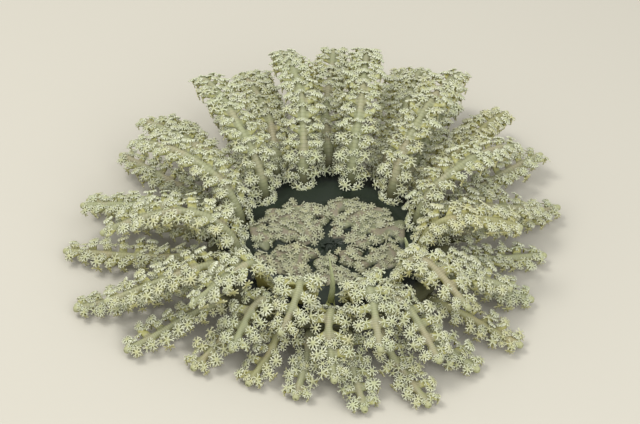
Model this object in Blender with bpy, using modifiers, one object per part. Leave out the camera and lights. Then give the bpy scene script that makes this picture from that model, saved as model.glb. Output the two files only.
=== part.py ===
"""Sea anemone of the tree anemone family, a still life-size model, spread out on a flat floor.

The foot stands on the floor under a short, drawn-in column. The oral disc on top of it carries five short
fronds that lie round the mouth, two young bare tentacles, and three rings of feathery tentacles that rise
from its margin, arch over and drape outwards. The crown reaches further and stands higher at +Y. The outer
ring's tips lie on the floor round the rest of it, and are held up there.

Metres, +Z up, the origin at the centre of the foot's underside. Angles are turned from +X towards +Y.
"""

import math
import random
from dataclasses import dataclass

import bmesh
import bpy
from mathutils import Vector

MM = 0.001
GAP = 0.3 * MM  # clearance between solids that touch

# Driving dimensions
CROWN_REACH = 92 * MM  # mean distance from the mouth to the longest tips
REACH_OFFSET_X = -3 * MM  # the crown leans this far off the mouth
REACH_OFFSET_Y = 21 * MM
REACH_LOBES = 6 * MM  # how far its outline swells and shrinks, three times round
DISC_RADIUS = 46 * MM
DISC_TOP = 16 * MM  # height of the margin above the floor
DISC_EDGE = 5 * MM  # thickness of the margin
DISH_RADIUS = 31 * MM  # the sunken middle of the disc
DISH_DEPTH = 3 * MM
FOOT_RADIUS = 31 * MM
FOOT_HEIGHT = 3 * MM
WAIST_RADIUS = 26 * MM
TURN_STEPS = 28

BODY_COLOUR = (0.33, 0.35, 0.20, 1)
DISC_COLOUR = (0.03, 0.045, 0.03, 1)
FROND_COLOUR = (0.40, 0.36, 0.25, 1)
TENTACLE_COLOUR = (0.47, 0.48, 0.31, 1)


@dataclass(frozen=True)
class Ring:
    """One ring of tentacles: how many, where they spring from and the arch that they make."""

    name: str
    count: int
    first_azimuth: float  # degrees
    root_radius: float
    root_height: float
    rise: float  # degrees above the horizon as it leaves the disc
    rise_length: float  # how far it keeps rising
    reach_share: float  # of the crown's reach in that direction
    tip_height: float
    fall: float  # degrees below the horizon at the tip
    fall_share: float  # how long it keeps falling, as a share of its span
    lift: float  # how much higher the tip is at +Y
    side_lift: float  # and at +X and -X
    half_width: float
    half_height: float
    rungs: int  # side lobes along each edge
    sway: float  # how far it wanders sideways
    turn: float  # most degrees that it is turned off its place in the ring


RINGS = (
    Ring("inner", 12, 15.0, 35 * MM, DISC_TOP + GAP, 84, 25 * MM, 0.86, 19 * MM, 24, 0.56, 17 * MM,
         7 * MM, 9.2 * MM, 3.6 * MM, 8, 2.6 * MM, 1.5),
    Ring("middle", 12, 0.0, 42.5 * MM, DISC_TOP + GAP, 78, 16 * MM, 0.95, 10.5 * MM, 10, 0.56, 15 * MM,
         4 * MM, 9.2 * MM, 3.6 * MM, 8, 2.4 * MM, 1.5),
    Ring("outer", 24, 7.5, DISC_RADIUS + GAP, 12 * MM, 4, 11 * MM, 1.02, 2.4 * MM, 0, 0.58, 13 * MM,
         1 * MM, 9.4 * MM, 3.3 * MM, 7, 1.4 * MM, 1.0),
)

NECK_HALF = 2.7 * MM  # a tentacle's bare stalk
TIP_HALF = 0.8 * MM  # its blunt bare tip
LOBE_NOTCH = 0.45  # width between two side lobes, as a share of the lobes'
SWEEP = math.radians(17)  # how far the tentacles are swept towards +Y by their tips
SWEEP_EVEN = 0.7  # how much of the sweep there is at +X and -X; towards -Y there is less
FULL_FRONT = 0.04  # how much wider the blades are at -Y than at the sides
SLIM_BACK = 0.06  # and how much slimmer at +Y
BLUNT = 0.30  # how full a blade still is at its tip
BLUNT_BACK = 0.20  # how much fuller it is there at +Y
SECTOR_SHARE = 0.43  # most of its sector that half a tentacle's width may fill

FROND_START = 94.0  # degrees, where the first frond begins
FROND_SPANS = (94.0, 58.0, 50.0, 56.0, 102.0)  # degrees of the dish that each frond takes
FROND_OUTER = 28.5 * MM
FROND_OVAL = 0.10  # how much further the fronds spread at +X and -X, and less at +Y and -Y
FROND_INNER = 8.5 * MM
FROND_HEIGHT = 4.5 * MM
FROND_CLEFT = 1.3 * MM  # half the dark cleft between two fronds
FROND_STATION = 9.0  # degrees between two sections

YOUNG = (  # azimuth in degrees, radius of the root, height, lean towards the mouth
    (-89.0, 33.4 * MM, 21 * MM, -1.5 * MM),
    (-29.5, 33.0 * MM, 15 * MM, 2.0 * MM),
)
YOUNG_RADIUS = 2.2 * MM


def clear_scene():
    """Removes the startup scene's objects."""
    for obj in list(bpy.data.objects):
        bpy.data.objects.remove(obj)


def flesh(name, colour, roughness):
    """A wet, matt flesh of one colour."""
    material = bpy.data.materials.new(name)
    material.use_nodes = True
    shader = material.node_tree.nodes["Principled BSDF"]
    shader.inputs["Base Color"].default_value = colour
    shader.inputs["Roughness"].default_value = roughness
    shader.inputs["Metallic"].default_value = 0.0
    return material


def add_mesh(name, mesh, material, collection):
    """Links a mesh as one named sub-part."""
    obj = bpy.data.objects.new(name, mesh)
    mesh.materials.append(material)
    collection.objects.link(obj)
    return obj


def turned(name, profile, material, collection):
    """A round body: a profile of (radius, height), from the top down its outer side, turned about Z."""
    mesh = bpy.data.meshes.new(name)
    points = [(radius, 0.0, height) for radius, height in profile]
    mesh.from_pydata(points, [(i, i + 1) for i in range(len(points) - 1)], [])
    obj = add_mesh(name, mesh, material, collection)
    screw = obj.modifiers.new("turn", "SCREW")
    screw.steps = screw.render_steps = TURN_STEPS
    screw.use_merge_vertices = True
    screw.merge_threshold = 0.00005
    screw.use_smooth_shade = True
    return obj


def loft(name, sections, material, collection):
    """A closed skin over a row of sections with the same number of corners, closed by its end sections."""
    mesh = bpy.data.meshes.new(name)
    shape = bmesh.new()
    rings = [[shape.verts.new(point) for point in section] for section in sections]
    for lower, upper in zip(rings, rings[1:]):
        for i in range(len(lower)):
            j = (i + 1) % len(lower)
            shape.faces.new((lower[i], lower[j], upper[j], upper[i]))
    shape.faces.new(reversed(rings[0]))
    shape.faces.new(rings[-1])
    bmesh.ops.recalc_face_normals(shape, faces=shape.faces)
    shape.to_mesh(mesh)
    shape.free()
    return add_mesh(name, mesh, material, collection)


def house_section(centre, side, up, half_width, half_height):
    """A five-cornered section: a raised ridge along the top, thin side edges and a flat underside."""
    corners = ((-1.0, 0.0), (0.0, 1.0), (1.0, 0.0), (0.45, -1.0), (-0.45, -1.0))
    points = [centre + side * (x * half_width) + up * (z * half_height) for x, z in corners]
    return [Vector((p.x, p.y, max(p.z, 0.0))) for p in points]


def bezier(start, start_handle, end_handle, end, share):
    """A point of a cubic Bezier curve, each argument a Vector."""
    rest = 1.0 - share
    return (start * rest**3 + start_handle * (3 * rest**2 * share)
            + end_handle * (3 * rest * share**2) + end * share**3)


def reach_towards(azimuth):
    """How far the crown spreads from the mouth in this direction."""
    return (CROWN_REACH + REACH_OFFSET_X * math.cos(azimuth) + REACH_OFFSET_Y * math.sin(azimuth)
            - REACH_LOBES * math.cos(3 * azimuth))


def blade_share(azimuth):
    """How wide the blades are in this direction, as a share of those at the sides."""
    back = math.sin(azimuth)
    return 1.0 - (SLIM_BACK if back > 0 else FULL_FRONT) * back


def tentacle_shares(rungs):
    """Where the lobed sections lie along a tentacle: (share of its length, True on a lobe)."""
    first, last = 0.09, 0.93
    step = (last - first) / (2 * rungs - 1)
    return [(first + i * step, i % 2 == 0) for i in range(2 * rungs)]


def fullness(share, azimuth):
    """The width of the lobed blade along a tentacle, from 0 to 1: it swells past the root and tapers."""
    swell = min(1.0, 0.78 + 1.5 * share)
    taper = min(1.0, BLUNT + BLUNT_BACK * max(0.0, math.sin(azimuth)) + 2.3 * (1.0 - share))
    return swell * taper


def swept(share):
    """How much of its sweep a tentacle has made here: none at its root, where it leaves straight."""
    return share**1.5 * (2.5 - 1.5 * share)


def tentacle(ring, index, azimuth, chance, material, collection):
    """One feathery tentacle as a lobed blade that arches from the disc's margin."""
    swing = SWEEP * math.cos(azimuth) * (SWEEP_EVEN + (1.0 - SWEEP_EVEN) * math.sin(azimuth))
    reach = reach_towards(azimuth + swing) * ring.reach_share * chance.uniform(0.95, 1.03)
    lift = ring.lift * max(0.0, math.sin(azimuth)) + ring.side_lift * math.cos(azimuth) ** 2
    rise, fall = math.radians(ring.rise), math.radians(ring.fall)
    root = Vector((ring.root_radius, ring.root_height))
    tip = Vector((reach, ring.tip_height + lift))
    span = reach - ring.root_radius
    root_handle = root + Vector((math.cos(rise), math.sin(rise))) * ring.rise_length
    tip_handle = tip + Vector((-math.cos(fall), math.sin(fall))) * (ring.fall_share * span)
    sway = ring.sway * chance.choice((-1, 1)) * chance.uniform(0.5, 1.0)
    bend = chance.uniform(0.9, 1.5)
    sector = math.radians(360.0 / ring.count) if ring.name == "outer" else math.inf

    def across(share):
        facing = azimuth + swing * swept(share)
        return Vector((-math.sin(facing), math.cos(facing), 0.0))

    def place(share):
        radius, height = bezier(root, root_handle, tip_handle, tip, share)
        drift = sway * math.sin(math.pi * bend * share) * min(1.0, 2 * share)
        side = across(share)
        return Vector((side.y, -side.x, 0.0)) * radius + side * drift + Vector((0, 0, height))

    def section(share, half_width, half_height):
        step = 0.01
        along = (place(min(1.0, share + step)) - place(max(0.0, share - step))).normalized()
        side = Vector((0, 0, 1)).cross(along).normalized() if abs(along.z) < 0.999 else across(share)
        centre = place(share)
        crowding = 1.0 - SWEEP * max(0.0, math.sin(azimuth)) * swept(share)
        room = SECTOR_SHARE * sector * crowding * math.hypot(centre.x, centre.y)
        return house_section(centre, side, along.cross(side), min(half_width, room), half_height)

    fullest = ring.half_width * blade_share(azimuth)
    sections = [section(0.0, NECK_HALF, NECK_HALF), section(0.04, NECK_HALF, NECK_HALF)]
    for share, on_lobe in tentacle_shares(ring.rungs):
        width = fullest * fullness(share, azimuth) * (1.0 if on_lobe else LOBE_NOTCH)
        height = ring.half_height * (0.55 + 0.45 * fullness(share, azimuth)) * (1.0 if on_lobe else 0.8)
        sections.append(section(share, width, height))
    sections.append(section(1.0, TIP_HALF, TIP_HALF))
    if ring.rise > 45:  # a stalk that stands on the disc is cut off level there
        sections[0] = [Vector((p.x, p.y, ring.root_height)) for p in sections[0]]
    return loft(f"tentacle_{ring.name}_{index + 1:02d}", sections, material, collection)


def dish_height(radius):
    """Height of the disc's upper face at this distance from the mouth."""
    share = min(1.0, radius / DISH_RADIUS)
    return DISC_TOP - DISH_DEPTH * (1.0 - share**2)


def frond(index, start, span, chance, material, collection):
    """One of the short lobed fronds that lie on the dish of the disc, swept round the mouth."""
    count = max(5, round(span / FROND_STATION))
    longest = FROND_OUTER * chance.uniform(0.96, 1.0)
    inner_edge = FROND_INNER * chance.uniform(1.0, 1.25)
    cleft = math.degrees(FROND_CLEFT / (0.5 * (longest + inner_edge)))
    sections = []
    for i in range(count):
        share = i / (count - 1)
        azimuth = math.radians(start + cleft + (span - 2 * cleft) * share)
        outer_edge = longest * (1.0 + FROND_OVAL * math.cos(2 * azimuth))
        fill = math.sqrt(max(0.0, 1.0 - (2 * share - 1) ** 4))  # blunt round ends
        notch = 0.94 if i % 2 else 1.0
        half_length = 0.5 * (outer_edge - inner_edge) * (0.55 + 0.45 * fill) * notch
        middle = 0.5 * (outer_edge + inner_edge)
        top = FROND_HEIGHT * (0.35 + 0.65 * fill) * notch
        corners = ((-1.0, 0.0), (-0.78, 0.75), (0.15, 1.0), (0.85, 0.7), (1.0, 0.0))
        section = []
        for along, up in corners:
            radius = middle + along * half_length
            floor = dish_height(middle + math.copysign(half_length, along)) + GAP
            section.append(Vector((radius * math.cos(azimuth), radius * math.sin(azimuth), floor + up * top)))
        sections.append(section)
    return loft(f"inner_frond_{index + 1}", sections, material, collection)


def young_tentacle(index, place, material, collection):
    """A small bare tentacle that stands up behind the front of the crown."""
    azimuth, radius, height, lean = place
    bpy.ops.mesh.primitive_cone_add(vertices=8, radius1=YOUNG_RADIUS, radius2=0.45 * MM, depth=height,
                                    location=(0, 0, height / 2))
    obj = bpy.context.object
    obj.name = f"young_tentacle_{index + 1}"
    root = Vector((math.cos(math.radians(azimuth)), math.sin(math.radians(azimuth)), 0.0)) * radius
    root.z = dish_height(radius) + GAP
    inward = Vector((-root.x, -root.y, 0.0)).normalized()
    for vertex in obj.data.vertices:
        share = (vertex.co.z + height / 2) / height
        vertex.co += inward * (lean * share**2)
    obj.location = root + Vector((0, 0, height / 2))
    obj.data.materials.append(material)
    for owner in list(obj.users_collection):
        owner.objects.unlink(obj)
    collection.objects.link(obj)
    return obj


def mouth(material, collection):
    """The oval lips around the mouth's slit."""
    bpy.ops.mesh.primitive_torus_add(major_radius=4.2 * MM, minor_radius=1.5 * MM,
                                     major_segments=20, minor_segments=8)
    obj = bpy.context.object
    obj.name = "mouth"
    for vertex in obj.data.vertices:
        vertex.co.x *= 1.35
        vertex.co.y *= 0.85
    obj.location.z = dish_height(6 * MM) + 1.5 * MM + GAP
    obj.data.materials.append(material)
    for owner in list(obj.users_collection):
        owner.objects.unlink(obj)
    collection.objects.link(obj)
    return obj


def body(collection):
    """The foot, the column and the oral disc, turned about the same axis."""
    skin = flesh("column_flesh", BODY_COLOUR, 0.55)
    dark = flesh("disc_flesh", DISC_COLOUR, 0.45)
    turned("pedal_disc", (
        (0, FOOT_HEIGHT),
        (FOOT_RADIUS - 2.5 * MM, FOOT_HEIGHT),
        (FOOT_RADIUS, FOOT_HEIGHT * 0.45),
        (FOOT_RADIUS - 0.8 * MM, 0),
        (0, 0),
    ), skin, collection)
    low, high = FOOT_HEIGHT + GAP, DISC_TOP - DISC_EDGE - GAP
    turned("column", (
        (0, high),
        (DISC_RADIUS - 6 * MM, high),
        (DISC_RADIUS - 9 * MM, low + (high - low) * 0.75),
        (WAIST_RADIUS, low + (high - low) * 0.4),
        (WAIST_RADIUS + 1.5 * MM, low),
        (0, low),
    ), skin, collection)
    under = DISC_TOP - DISC_EDGE
    turned("oral_disc", (
        (0, dish_height(0)),
        (DISH_RADIUS * 0.6, dish_height(DISH_RADIUS * 0.6)),
        (DISH_RADIUS, DISC_TOP),
        (DISC_RADIUS - 1.5 * MM, DISC_TOP),
        (DISC_RADIUS, DISC_TOP - 1.2 * MM),
        (DISC_RADIUS, under + 1 * MM),
        (DISC_RADIUS - 2 * MM, under),
        (0, under),
    ), dark, collection)
    mouth(dark, collection)


def main():
    """Builds every sub-part."""
    clear_scene()
    collection = bpy.data.collections.new("sea_anemone")
    bpy.context.scene.collection.children.link(collection)
    body(collection)
    chance = random.Random(48)
    frond_flesh = flesh("frond_flesh", FROND_COLOUR, 0.5)
    start = FROND_START
    for i, span in enumerate(FROND_SPANS):
        frond(i, start, span, chance, frond_flesh, collection)
        start += span
    tentacle_flesh = flesh("tentacle_flesh", TENTACLE_COLOUR, 0.5)
    for i, place in enumerate(YOUNG):
        young_tentacle(i, place, tentacle_flesh, collection)
    for ring in RINGS:
        for i in range(ring.count):
            turn = ring.turn * chance.uniform(-1, 1)
            azimuth = math.radians(ring.first_azimuth + i * 360.0 / ring.count + turn)
            tentacle(ring, i, azimuth, chance, tentacle_flesh, collection)


main()
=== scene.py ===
"""Looks of a life-size tree anemone: one skin of wet flesh under a coat of star-shaped branchlets.

The crown's tentacles follow the arches of the frame's solids. Each is a smooth midrib with rungs of side
branches, modelled once, repeated and bent along its arch. All the flesh is joined into one skin, and the
branchlets that stand on it are joined into a few coat pieces. Metres, +Z up, as in the frame.
"""

import logging
import math
import random
from collections.abc import Callable, Iterator
from contextlib import contextmanager
from dataclasses import dataclass, field
from enum import Enum

import bmesh
import bpy
import numpy as np
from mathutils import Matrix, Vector, kdtree

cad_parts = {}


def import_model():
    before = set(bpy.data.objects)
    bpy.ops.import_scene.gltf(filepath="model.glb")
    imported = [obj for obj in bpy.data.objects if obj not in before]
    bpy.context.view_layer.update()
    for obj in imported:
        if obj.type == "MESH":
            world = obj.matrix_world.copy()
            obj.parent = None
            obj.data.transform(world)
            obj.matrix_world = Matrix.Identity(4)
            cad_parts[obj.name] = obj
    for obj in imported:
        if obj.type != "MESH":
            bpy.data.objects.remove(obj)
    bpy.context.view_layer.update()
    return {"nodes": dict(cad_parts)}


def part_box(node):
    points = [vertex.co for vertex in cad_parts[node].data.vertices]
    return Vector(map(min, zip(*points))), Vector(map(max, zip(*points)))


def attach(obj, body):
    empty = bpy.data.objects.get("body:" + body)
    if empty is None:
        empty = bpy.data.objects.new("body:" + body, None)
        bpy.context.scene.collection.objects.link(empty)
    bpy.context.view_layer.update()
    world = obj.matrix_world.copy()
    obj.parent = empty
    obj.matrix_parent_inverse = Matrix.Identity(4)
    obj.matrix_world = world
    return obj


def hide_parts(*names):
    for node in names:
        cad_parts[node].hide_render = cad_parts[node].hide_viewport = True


log = logging.getLogger("sea_anemone")

MM = 0.001
BODY = "root"
LAYOUT_SEED = 48  # the frame's layout is drawn from this seed
COAT_SEED = 7
PITCH = 5.9 * MM  # between two rungs of side branches
ROOT = 0.34  # bare midrib before the first rung, in pitches
TIP = 0.34  # bare midrib after the last one, in pitches
MOST_FACES = 185_000  # in one coat piece
PATCH = 0.003  # how wide a branchlet is on its bake map
TOUCH = 0.01 * MM  # places nearer than this are one
FLOOR_GAP = 0.05 * MM  # the least height of the coat
PHASE = 6.3  # the most that a wave starts late, in radians
ASLANT = (0.31, 0.87, 0.39)  # a direction in which no branchlet points
YOUNG = {"young_tentacle_1": 1.3 * MM, "young_tentacle_2": 2.1 * MM}  # how thick each is at its root
MARKS = ("rib", "end", "shade", "along", "tone", "frond", "body", "young")  # what a skin's corner carries


class Cycle(Enum):
    """The rings in which the tentacles grow, from the mouth outwards."""

    INNER = "inner"
    MIDDLE = "middle"
    OUTER = "outer"


@dataclass(frozen=True)
class Disc:
    """Sizes of the foot, column and oral disc, from the frame's solids."""

    radius: float
    top: float
    under: float
    dish_radius: float = 31 * MM
    dish_depth: float = 3 * MM
    foot_radius: float = 31 * MM
    waist_radius: float = 26 * MM

    @classmethod
    def from_frame(cls) -> "Disc":
        """Reads the disc's radius and heights off its solid."""
        low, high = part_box("oral_disc")
        return cls(radius=(high.x - low.x) / 2, top=high.z, under=low.z)

    def dish(self, radius: float | np.ndarray) -> float | np.ndarray:
        """Height of the disc's upper face at this distance from the mouth."""
        share = np.minimum(1.0, np.asarray(radius) / self.dish_radius)
        return self.top - self.dish_depth * (1.0 - share**2)

    def rim(self, radius: np.ndarray) -> np.ndarray:
        """How far a place lies in the paler flesh outside the dark ring, from 0 to 1."""
        return ease(radius, self.radius - 9 * MM, self.radius - 3 * MM)


@dataclass(frozen=True)
class Ring:
    """One ring of tentacles: how many, where they spring from and the arch that they make."""

    cycle: Cycle
    count: int
    first_azimuth: float
    root_radius: float
    root_height: float
    rise: float
    rise_length: float
    reach_share: float
    tip_height: float
    fall: float
    fall_share: float
    lift: float
    side_lift: float
    half_width: float
    sway: float
    turn: float


@dataclass
class Arch:
    """The line that one tentacle's midrib follows, evenly stepped, with the frame along it.

    Attributes:
        name: the frame's node.
        cycle: the ring that it grows in.
        points: places along it, one row each.
        room: the most half width that its neighbours leave it at each of them.
        half_width: from the midrib to the tips of the coat where it is fullest.
        blunt: how full it still is at its tip, from 0 to 1.
        covered: how much of its midrib's top lies under branchlets, from 0 to 1.
        tone: how yellow (1) or how green (-1) this one is.
        seed: draws the lengths and sweeps of its side branches.
    """

    name: str
    cycle: Cycle
    points: np.ndarray
    room: np.ndarray
    half_width: float
    blunt: float
    covered: float
    tone: float
    seed: int
    model_width: float = 9.0 * MM  # the half width for which the straight tentacle is modelled
    along: np.ndarray = field(init=False)
    side: np.ndarray = field(init=False)
    up: np.ndarray = field(init=False)
    length: float = field(init=False)
    stretch: np.ndarray = field(init=False)  # of each side branch, a row for each rung
    sweep: np.ndarray = field(init=False)  # how far forward its end leans, in metres

    def __post_init__(self) -> None:
        """Works out the length and the frame of each point, with up as steep as it can be."""
        steps = np.linalg.norm(np.diff(self.points, axis=0), axis=1)
        travelled = np.concatenate(([0.0], np.cumsum(steps)))
        self.length = float(travelled[-1])
        even = np.linspace(0.0, self.length, len(self.points))
        self.points = np.stack([np.interp(even, travelled, self.points[:, i]) for i in range(3)], axis=1)
        self.room = np.interp(even, travelled, self.room)
        self.along = unit(np.gradient(self.points, axis=0))
        self.side = unit(np.cross((0.0, 0.0, 1.0), self.along))
        self.up = np.cross(self.along, self.side)
        draws = np.random.default_rng(self.seed)
        self.stretch = draws.uniform(0.82, 1.12, (self.rungs, 2))
        self.sweep = draws.uniform(-1.1, 1.1, (self.rungs, 2)) * MM

    @property
    def rungs(self) -> int:
        """How many pairs of side branches it has."""
        return max(4, round(self.length / PITCH - ROOT - TIP))

    def rung_share(self, rung: float) -> float:
        """Where along the arch, from 0 to 1, a rung's branches leave the midrib."""
        return min(1.0, (ROOT + 0.5 + rung) / (ROOT + self.rungs + TIP))

    def scale(self, share: float | np.ndarray) -> float | np.ndarray:
        """How large the side branches are here against the model's: they swell and then taper."""
        swell = np.minimum(1.0, 0.78 + 1.5 * np.asarray(share))
        fullness = swell * np.minimum(1.0, self.blunt + 2.3 * (1.0 - np.asarray(share)))
        room = np.interp(share, np.linspace(0.0, 1.0, len(self.room)), self.room)
        return np.minimum(self.half_width * (0.22 + 0.78 * fullness), room) / self.model_width

    def at(self, share: float) -> tuple[np.ndarray, np.ndarray, np.ndarray, np.ndarray]:
        """The place, and the along, side and up directions, at this share of the length."""
        row = min(len(self.points) - 1, max(0, round(share * (len(self.points) - 1))))
        return self.points[row], self.along[row], self.side[row], self.up[row]


@dataclass(frozen=True)
class Frond:
    """One broad frond on the dish: a lobed pad between the mouth and its scalloped outer edge.

    Two neighbours part along a wavy cleft, and small pools open where a pad dips under the dish, darkened
    with painted shade that deepens towards the dish.

    Attributes:
        name: the frame's node.
        disc: the disc that it lies on.
        start: azimuth in degrees where it begins.
        span: degrees of the dish that it takes.
        ribs: how many smooth ribs run along it.
        tone: how yellow or how green it is.
    """

    name: str
    disc: Disc
    start: float
    span: float
    ribs: int
    tone: float
    inner: float = 2.8 * MM
    outer: float = 29.0 * MM
    oval: float = 0.105  # how much further it spreads at +X and -X, and less at +Y and -Y
    cleft: float = 0.8 * MM  # half the gap between two fronds, on the whole
    thickness: float = 1.9 * MM

    def surface(self, across: np.ndarray, outward: np.ndarray) -> np.ndarray:
        """Places on the pad's upper face, from shares across the frond and outwards from the mouth."""
        edge = np.abs(2.0 * across - 1.0)
        lobes = 0.07 * np.abs(np.sin(np.pi * across * (self.ribs + 1) + 0.4 * self.tone))
        facing = np.radians(self.start + self.span * across)
        outer = self.outer * (1.0 - lobes + self.oval * np.cos(2.0 * facing)) - 3 * MM * edge**6
        inner = self.inner * (1.0 + 0.35 * np.sin(2.4 * np.pi * across + self.start))
        radius = inner + (outer - inner) * outward
        first = self.border(self.start, radius, 1.0)
        last = self.border(self.start + self.span, radius, -1.0)
        azimuth = first + (last - first) * across
        places = np.stack((radius * np.cos(azimuth), radius * np.sin(azimuth)), axis=-1)
        crown = (1.0 - edge**8) ** 0.5 * (1.0 - outward**10) ** 0.5 * np.minimum(1.0, 0.2 + 3.0 * outward)
        crown = crown * (1.0 - 0.9 * self.pool(places))
        wave = np.sin(places[..., 0] * 420 + places[..., 1] * 260)
        swell = 0.45 * MM * self.ridge(across) + 0.4 * MM * wave
        height = self.disc.dish(radius) - 0.7 * MM + crown * (0.7 * MM + self.thickness + swell)
        return np.concatenate((places, height[..., None]), axis=-1)

    def border(self, azimuth: float, radius: np.ndarray, way: float) -> np.ndarray:
        """The azimuth in radians of the pad's side next to the cleft at this azimuth in degrees."""
        middle = math.radians(azimuth) + 0.13 * np.sin(radius * 330 + azimuth) + 0.06 * np.sin(radius * 870)
        gap = self.cleft * (1.0 + 0.75 * np.sin(radius * 410 + 2.0 * azimuth))
        return middle + way * gap / radius

    @staticmethod
    def pool(places: np.ndarray) -> np.ndarray:
        """How near a place is to the middle of one of the dark pools in the field, from 0 to 1."""
        x, y = places[..., 0] / MM, places[..., 1] / MM
        wave = (np.sin(x / 2.5 + 1.4 * np.sin(y / 3.7) + 0.6) * np.sin(y / 2.9 + 1.2 * np.sin(x / 4.1) + 1.1)
                - 0.35 * np.minimum(1.0, np.hypot(x, y) / 30))
        return ease(wave, 0.50, 0.75)

    def ridge(self, across: np.ndarray) -> np.ndarray:
        """How near to the middle of a rib, from 0 to 1."""
        return 0.5 - 0.5 * np.cos(2 * np.pi * self.ribs * np.asarray(across))


def unit(vectors: np.ndarray) -> np.ndarray:
    """The vectors with their lengths made 1."""
    vectors = np.asarray(vectors, float)
    return vectors / np.linalg.norm(vectors, axis=-1, keepdims=True)


@dataclass
class Layout:
    """Where every tentacle of the crown and every frond of the disc lies.

    It draws its chances in the order in which the frame's solids were drawn, so that the two agree.
    """

    disc: Disc
    gap: float = 0.3 * MM
    crown_reach: float = 92 * MM
    offset_x: float = -3 * MM
    offset_y: float = 21 * MM
    lobes: float = 6 * MM
    frond_start: float = 94.0
    frond_spans: tuple[float, ...] = (94.0, 58.0, 50.0, 56.0, 102.0)
    frond_ribs: tuple[int, ...] = (3, 2, 2, 2, 3)
    sweep: float = math.radians(17)
    sweep_even: float = 0.7
    full_front: float = 0.04
    slim_back: float = 0.06
    blunt: float = 0.30
    blunt_back: float = 0.20
    sector_share: float = 0.50  # most of its sector that half of an outer tentacle's width may fill
    samples: int = 161

    def rings(self) -> tuple[Ring, ...]:
        """The three rings of the crown."""
        standing = self.disc.top + self.gap
        return (
            Ring(Cycle.INNER, 12, 15.0, 35 * MM, standing, 84, 25 * MM, 0.86, 19 * MM, 24, 0.56, 17 * MM,
                 7 * MM, 9.2 * MM, 2.6 * MM, 1.5),
            Ring(Cycle.MIDDLE, 12, 0.0, 42.5 * MM, standing, 78, 16 * MM, 0.95, 10.5 * MM, 10, 0.56, 15 * MM,
                 4 * MM, 9.2 * MM, 2.4 * MM, 1.5),
            Ring(Cycle.OUTER, 24, 7.5, self.disc.radius + self.gap, 12 * MM, 4, 11 * MM, 1.02, 2.4 * MM, 0,
                 0.58, 13 * MM, 1 * MM, 9.4 * MM, 1.4 * MM, 1.0),
        )

    def reach_towards(self, azimuth: float) -> float:
        """How far the crown spreads from the mouth in this direction."""
        return (self.crown_reach + self.offset_x * math.cos(azimuth) + self.offset_y * math.sin(azimuth)
                - self.lobes * math.cos(3 * azimuth))

    def blade_share(self, azimuth: float) -> float:
        """How wide the tentacles are in this direction, as a share of those at the sides."""
        back = math.sin(azimuth)
        return 1.0 - (self.slim_back if back > 0 else self.full_front) * back

    def arches(self) -> list[Arch]:
        """Every midrib of the crown, ring by ring."""
        chance = random.Random(LAYOUT_SEED)
        for _ in range(2 * len(self.frond_spans)):
            chance.random()  # the solids of the fronds each drew twice
        tones = random.Random(COAT_SEED)
        return [self.tentacle(ring, index, chance, tones)
                for ring in self.rings() for index in range(ring.count)]

    def tentacle(self, ring: Ring, index: int, chance: random.Random, tones: random.Random) -> Arch:
        """One tentacle of a ring.

        Args:
            ring: the ring that it grows in.
            index: its place in the ring.
            chance: the draws of the layout.
            tones: the draws of the colours.

        Returns:
            Its arch, from just inside the disc to its tip.
        """
        turn = ring.turn * chance.uniform(-1, 1)
        azimuth = math.radians(ring.first_azimuth + index * 360.0 / ring.count + turn)
        back = max(0.0, math.sin(azimuth))
        evenness = self.sweep_even + (1.0 - self.sweep_even) * math.sin(azimuth)
        swing = self.sweep * math.cos(azimuth) * evenness
        reach = self.reach_towards(azimuth + swing) * ring.reach_share * chance.uniform(0.95, 1.03)
        lift = ring.lift * back + ring.side_lift * math.cos(azimuth) ** 2
        rise, fall = math.radians(ring.rise), math.radians(ring.fall)
        root = np.array((ring.root_radius, ring.root_height))
        tip = np.array((reach, ring.tip_height + lift))
        leaving = root + np.array((math.cos(rise), math.sin(rise))) * ring.rise_length
        span = reach - ring.root_radius
        arriving = tip + np.array((-math.cos(fall), math.sin(fall))) * (ring.fall_share * span)
        sway = ring.sway * chance.choice((-1, 1)) * chance.uniform(0.5, 1.0)
        bend = chance.uniform(0.9, 1.5)

        share = np.linspace(-0.03, 1.0, self.samples)[:, None]
        rest = 1.0 - share
        plane = (root * rest**3 + leaving * (3 * rest**2 * share) + arriving * (3 * rest * share**2)
                 + tip * share**3)
        drift = sway * np.sin(np.pi * bend * share) * np.clip(2 * share, 0.0, 1.0)
        swept = np.clip(share, 0.0, 1.0) ** 1.5 * (2.5 - 1.5 * share)
        facing = azimuth + swing * swept
        outward = np.concatenate((np.cos(facing), np.sin(facing), 0 * facing), axis=1)
        across = np.concatenate((-np.sin(facing), np.cos(facing), 0 * facing), axis=1)
        points = outward * plane[:, :1] + across * drift + np.array((0.0, 0.0, 1.0)) * plane[:, 1:]
        crowding = 1.0 - self.sweep * back * swept[:, 0]
        room = self.sector_share * math.radians(360.0 / ring.count) * crowding * plane[:, 0]
        name = f"tentacle_{ring.cycle.value}_{index + 1:02d}"
        width = ring.half_width * self.blade_share(azimuth)
        return Arch(name, ring.cycle, points, room, width, self.blunt + self.blunt_back * back,
                    0.2 + 0.65 * back**2, tones.uniform(-1, 1), tones.randrange(9999))

    def fronds(self) -> list[Frond]:
        """The fronds round the mouth."""
        tones = random.Random(COAT_SEED + 1)
        start, fronds = self.frond_start, []
        for number, (span, ribs) in enumerate(zip(self.frond_spans, self.frond_ribs)):
            name = f"inner_frond_{number + 1}"
            fronds.append(Frond(name, self.disc, start, span, ribs, tones.uniform(-1, 1)))
            start += span
        return fronds


# ---------------------------------------------------------------------------------------------------------
# Modelling helpers


def only(piece: bpy.types.Object) -> None:
    """Makes this the one selected and active object."""
    bpy.ops.object.select_all(action="DESELECT")
    piece.select_set(True)
    bpy.context.view_layer.objects.active = piece


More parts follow.
